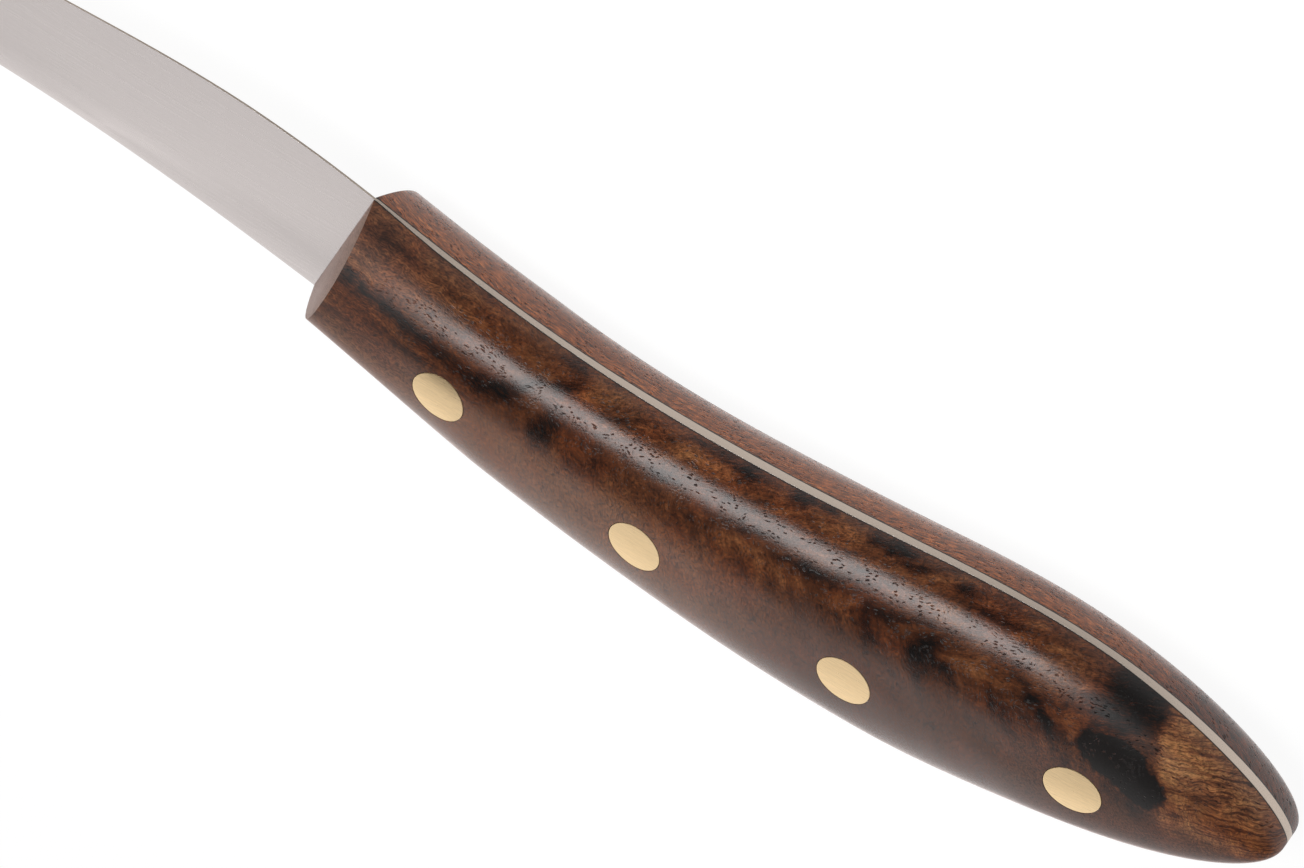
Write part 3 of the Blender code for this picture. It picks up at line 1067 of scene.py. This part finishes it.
def figured_grain(nodes, figure, place, spot):
    """The near scale's grain: along the handle in front, then crossing below and slanting above."""
    ways = ("front", "cross", "slant")
    front, cross, slant = (run_grain(nodes, figure, place, way) for way in ways)
    rearwards = nodes.ramp(spot["X"], *STRAIGHT_TO_CROSSED)
    upwards = nodes.ramp(spot["Y"], *CROSSED_TO_SLANTING)
    grain = {}
    for kind in ("Bands", "Fibres", "Pores", "Grain"):
        rear = nodes.mix(upwards, cross[kind], slant[kind])
        grain[kind] = nodes.mix(rearwards, front[kind], rear)
    return grain


def figured_tone(nodes, figure, position, place, spot, grain):
    """How pale the near scale is apart from its knot: bands, mottle, fibres, spots, the butt, and
    painted light that pales it towards the spine.
    """
    tone = nodes.ramp(grain["Bands"], 0.2, 0.8, 0.26, 0.74, smooth=False)
    mottle = nodes.noise(position, 0.9, 3.0, 0.65)
    tone = nodes.maths("ADD", tone, nodes.ramp(mottle, 0.2, 0.8, -0.15, 0.15, smooth=False))
    fibres = nodes.ramp(grain["Fibres"], 0.2, 0.8, -0.06, 0.06, smooth=False)
    coarser = nodes.ramp(spot["X"], *STRAIGHT_TO_CROSSED, 2.6, 1.2)
    tone = nodes.maths("ADD", tone, nodes.maths("MULTIPLY", fibres, coarser))
    streaky = nodes.ramp(grain["Fibres"], 0.3, 0.7, 1.4, 0.6, smooth=False)
    dark = nodes.maths("MULTIPLY", spots_sum(nodes, figure, place, DARK_SPOTS), streaky)
    tone = nodes.maths("SUBTRACT", tone, dark)
    tone = nodes.maths("ADD", tone, spots_sum(nodes, figure, place, PALE_SPOTS))
    slanted = nodes.maths("MULTIPLY_ADD", spot["Y"], 0.25, spot["X"])
    butt = nodes.ramp(slanted, *GOLDEN_BUTT)
    tone = nodes.maths("MULTIPLY_ADD", butt, 0.28, tone)
    waves = run_grain(nodes, figure, place, "waves")["Bands"]
    ripple = nodes.ramp(waves, 0.38, 0.52, -0.26, 0.05)
    tone = nodes.maths("MULTIPLY_ADD", butt, ripple, tone)
    # painted light: paler towards the spine side, where more light falls, and darker across the middle
    # of the side
    return nodes.maths("ADD", tone, nodes.ramp(spot["Y"], 8.0, 14.0, -0.05, 0.04))


def calmed_and_sheened(nodes, tone, spot):
    """The tone drawn to an even level towards the belly, where the wood shows little figure, and paler
    there in front as a painted sheen of the floor's reflection.
    """
    belly_calm_and_sheen = nodes.ramp(spot["Y"], *CALM_SHEENED_BELLY, 0.0, 0.75)
    # painted sheen: a pale level in front that stands in for the floor's reflection, going to plain
    # brown behind
    sheened_level = nodes.ramp(spot["X"], 78.0, 104.0, 0.70, 0.44)
    tone = nodes.maths("SUBTRACT", tone, nodes.ramp(spot["X"], 76.0, 92.0, 0.0, 0.05))
    plain = nodes.maths("MULTIPLY", nodes.maths("SUBTRACT", sheened_level, tone), belly_calm_and_sheen)
    return nodes.maths("ADD", tone, plain)


def knot_share(nodes, figure, position, place):
    """Where the knot lies: overlapping spots with a ragged outline."""
    ragged = nodes.ramp(nodes.noise(position, 0.6, 3.0, 0.6), 0.3, 0.7, -0.3, 0.3, smooth=False)
    spots = spots_sum(nodes, figure, place, KNOT_SPOTS)
    return nodes.ramp(nodes.maths("ADD", spots, ragged), *KNOT_EDGE)


def open_pores(nodes, spot, pores):
    """The near scale's pores, which are faintest in front and towards the belly and the spine."""
    open_share = nodes.ramp(spot["Y"], 3.0, 8.0, 0.15, 1.0)
    by_spine = nodes.ramp(spot["Y"], 12.5, 15.0, 1.0, 0.4)
    in_front = nodes.ramp(spot["X"], 38.0, 60.0, 0.3, 1.0)
    for share in (by_spine, in_front):
        open_share = nodes.maths("MULTIPLY", open_share, share)
    return nodes.maths("MULTIPLY", pores, open_share)


def near_walnut(figure, colours, steel_height):
    """Figured walnut of the left scale: dark streaks in front, cross figure, a knot and a pale butt.
    Places are in millimetres along (X) and across (Y) its unrolled skin."""
    material, nodes, shader = new_material("figured_walnut")
    position = millimetres(nodes)
    place, spot = unroll(nodes, figure, position, steel_height, 2.4)
    grain = figured_grain(nodes, figure, place, spot)
    tone = figured_tone(nodes, figure, position, place, spot, grain)
    knot = knot_share(nodes, figure, position, place)
    tone = nodes.maths("MULTIPLY_ADD", knot, -0.9, calmed_and_sheened(nodes, tone, spot), clamp=True)

    pores = open_pores(nodes, spot, grain["Pores"])
    flecks = nodes.maths("MULTIPLY", knot, nodes.ramp(spot["X"], 129.5, 132.5, 0.55, 0.30))
    filled = nodes.maths("SUBTRACT", flecks, 0.26)
    tone = nodes.maths("MULTIPLY_ADD", pores, filled, tone, clamp=True)
    reddish = nodes.ramp(nodes.noise(position, 0.16, 2.0), 0.4, 0.65)
    colour = wood_colour(nodes, tone, reddish, NEAR_TINT, colours)

    worn_front = nodes.ramp(spot["X"], 36.0, 54.0, 0.34, 0.0)
    worn_butt = nodes.ramp(spot["X"], 118.0, 130.0, 0.0, 0.20)
    dulled = nodes.maths("ADD", worn_front, worn_butt)
    relief = (pores, grain["Fibres"], grain["Grain"])
    finish_wood(nodes, shader, colour, colours.end_grain_and_reflection, relief, dulled, NEAR_GLOSS)
    return material


def far_walnut(figure, colours, steel_height):
    """Plainer, redder walnut of the right scale, straight in the grain."""
    material, nodes, shader = new_material("plain_walnut")
    place, spot = unroll(nodes, figure, millimetres(nodes), steel_height, 1.2)
    grain = run_grain(nodes, figure, place, "straight")
    tone = nodes.ramp(grain["Bands"], 0.2, 0.8, 0.46, 0.88, smooth=False)
    fibres = nodes.ramp(grain["Fibres"], 0.2, 0.8, -0.14, 0.14, smooth=False)
    tone = nodes.maths("ADD", tone, fibres)
    tone = nodes.maths("SUBTRACT", tone, nodes.ramp(spot["X"], 126.0, 136.0, 0.0, 0.30))
    tone = nodes.maths("MULTIPLY_ADD", grain["Pores"], -0.2, tone, clamp=True)
    colour = wood_colour(nodes, tone, 0.9, FAR_TINT, colours)
    relief = (grain["Pores"], grain["Fibres"], grain["Fibres"])
    finish_wood(nodes, shader, colour, colours.end_grain_and_reflection, relief, -0.04, FAR_GLOSS)
    return material


def laid_grip(scene):
    """The grip that the settings give, and the knife frame's origin in the row frame."""
    grip = Grip(scene.knife_grip, scene.knife_steel)
    return grip, knife_origin(grip)


class KNIFE_OT_steel(bpy.types.Operator):
    """Makes the blade and tang, in one bar"""

    bl_idname = "knife.steel"
    bl_label = "Blade and tang"

    def execute(self, context):
        scene = context.scene
        grip, origin = laid_grip(scene)
        body = steel_body(grip)
        drill(body, bores(origin, scene.knife_pins.seat, grip.sizes.neck_thickness))
        colours = scene.knife_colours
        look = metal_material("satin_steel", colours.steel, colours.strip, STEEL_FINISH)
        finish_piece("finished_blade", body, origin, look, "blade")
        return {"FINISHED"}


class KNIFE_OT_scales(bpy.types.Operator):
    """Makes the two walnut scales"""

    bl_idname = "knife.scales"
    bl_label = "Walnut scales"

    def execute(self, context):
        scene = context.scene
        grip, origin = laid_grip(scene)
        figure = Figure()
        for name, side, walnut in (("left_scale", 1, near_walnut), ("right_scale", -1, far_walnut)):
            body, away = scale_body(grip, side)
            break_front_edge(body, away, grip.sizes.broken_edge)
            drill(body, bores(origin, scene.knife_pins.seat, 2 * grip.sizes.neck_thickness))
            mark_clearance(body, grip, side)
            look = walnut(figure, scene.knife_colours, origin.z * MILLIMETRES)
            finish_piece("finished_" + name, body, origin, look, name)
        return {"FINISHED"}


class KNIFE_OT_pins(bpy.types.Operator):
    """Makes the four brass pins, ground flush with the scales"""

    bl_idname = "knife.pins"
    bl_label = "Brass pins"

    def execute(self, context):
        scene = context.scene
        grip, origin = laid_grip(scene)
        brass = scene.knife_colours.brass
        look = metal_material("brass", brass, brass, BRASS_FINISH)
        for name, (x, y, radius) in zip(PIN_NODES, pin_places(origin)):
            body = pin_body(grip, x, y, radius, scene.knife_pins.rim)
            finish_piece("finished_" + name, body, origin, look, name)
        return {"FINISHED"}


def softbox(name, place, target, width, height, power):
    """A white panel lamp that faces the target and stays out of the picture."""
    data = bpy.data.lights.new(name, "AREA")
    data.shape = "RECTANGLE"
    data.size = width
    data.size_y = height
    data.energy = power
    lamp = bpy.data.objects.new(name, data)
    lamp.location = place
    lamp.rotation_euler = (Vector(target) - Vector(place)).to_track_quat("-Z", "Y").to_euler()
    lamp.visible_camera = False
    bpy.context.scene.collection.objects.link(lamp)
    return lamp


class KNIFE_OT_stage(bpy.types.Operator):
    """Makes the floor, the lights and the camera"""

    bl_idname = "knife.stage"
    bl_label = "Stage"

    def execute(self, context):
        scene = context.scene
        stage = scene.knife_stage
        self.make_floor(stage)
        self.make_world(scene, stage)
        for name, (place, target, width, height, setting) in SOFTBOXES.items():
            lamp = softbox(name, place, target, width, height, getattr(stage, setting))
            lamp.visible_glossy = name != NOT_MIRRORED
        self.make_camera(scene, stage)
        scene.view_settings.view_transform = "Standard"
        return {"FINISHED"}

    def make_floor(self, stage):
        """A pale floor that shows white, takes the shadow, and is mirrored dim behind the knife."""
        body = bmesh.new()
        bmesh.ops.create_grid(
            body, x_segments=FLOOR_CELLS, y_segments=FLOOR_CELLS, size=FLOOR_REACH
        )
        mesh = bpy.data.meshes.new("floor")
        body.to_mesh(mesh)
        body.free()
        floor = bpy.data.objects.new("floor", mesh)
        bpy.context.scene.collection.objects.link(floor)
        material, nodes, shader = new_material("pale_floor")
        nodes.feed(shader.inputs["Base Color"], tuple(stage.floor))
        shader.inputs["Roughness"].default_value = FLOOR_ROUGHNESS
        shader.inputs["Specular IOR Level"].default_value = 0.0
        path = nodes.add("ShaderNodeLightPath").outputs
        across = nodes.split(nodes.add("ShaderNodeTexCoord").outputs["Object"])["Y"]
        lit = nodes.ramp(across, *MIRRORED_GLOW, smooth=False)
        in_view = nodes.maths("MULTIPLY", path["Is Camera Ray"], WHITE_GLOW)
        lit = nodes.maths("MAXIMUM", lit, in_view)
        glow = nodes.add("ShaderNodeEmission", {"Color": (1, 1, 1), "Strength": lit})
        seen = nodes.maths("MULTIPLY", path["Is Camera Ray"], SEEN_GLOW)
        seen = nodes.maths("MAXIMUM", seen, path["Is Glossy Ray"])
        mix = nodes.add("ShaderNodeMixShader")
        nodes.feed(mix.inputs[0], seen)
        nodes.feed(mix.inputs[1], shader.outputs[0])
        nodes.feed(mix.inputs[2], glow.outputs[0])
        out = material.node_tree.nodes["Material Output"]
        nodes.feed(out.inputs["Surface"], mix.outputs[0])
        mesh.materials.append(material)

    def make_world(self, scene, stage):
        """White behind the knife, and a dim even light on it."""
        world = bpy.data.worlds.new("studio")
        world.use_nodes = True
        scene.world = world
        nodes = Nodes(world.node_tree)
        back = world.node_tree.nodes["Background"]
        path = nodes.add("ShaderNodeLightPath").outputs
        strength = nodes.ramp(path["Is Camera Ray"], 0, 1, stage.world, 1.0, smooth=False)
        nodes.feed(back.inputs["Strength"], strength)
        nodes.feed(back.inputs["Color"], (1.0, 1.0, 1.0))

    def make_camera(self, scene, stage):
        data = bpy.data.cameras.new("camera")
        data.sensor_width = SENSOR_WIDTH
        data.lens = stage.lens
        data.clip_start = NEAR_CLIP
        camera = bpy.data.objects.new("camera", data)
        down, ahead = Vector(CAMERA_DOWN), Vector(CAMERA_AHEAD)
        turn = Matrix((CAMERA_RIGHT, -down, -ahead)).transposed().to_4x4()
        camera.matrix_world = Matrix.Translation(CAMERA_PLACE) @ turn
        scene.collection.objects.link(camera)
        scene.camera = camera


class KNIFE_PT_panel(bpy.types.Panel):
    """Lists the knife's operators in the sidebar"""

    bl_label = "Fillet knife"
    bl_idname = "KNIFE_PT_panel"
    bl_space_type = "VIEW_3D"
    bl_region_type = "UI"
    bl_category = "Fillet knife"

    def draw(self, context):
        for maker in MAKERS:
            self.layout.operator(maker.bl_idname)


GROUPS = {
    "knife_grip": GripSizes,
    "knife_steel": SteelSizes,
    "knife_pins": PinSizes,
    "knife_colours": FinishColours,
    "knife_stage": StageSettings,
}
MAKERS = (KNIFE_OT_steel, KNIFE_OT_scales, KNIFE_OT_pins, KNIFE_OT_stage)


def register():
    for cls in (*GROUPS.values(), *MAKERS, KNIFE_PT_panel):
        bpy.utils.register_class(cls)
    for name, cls in GROUPS.items():
        setattr(bpy.types.Scene, name, PointerProperty(type=cls))


def unregister():
    for name in GROUPS:
        delattr(bpy.types.Scene, name)
    for cls in reversed((*GROUPS.values(), *MAKERS, KNIFE_PT_panel)):
        bpy.utils.unregister_class(cls)


def main():
    register()
    bpy.ops.knife.steel()
    bpy.ops.knife.scales()
    bpy.ops.knife.pins()
    bpy.ops.knife.stage()


if __name__ == "__main__":
    main()
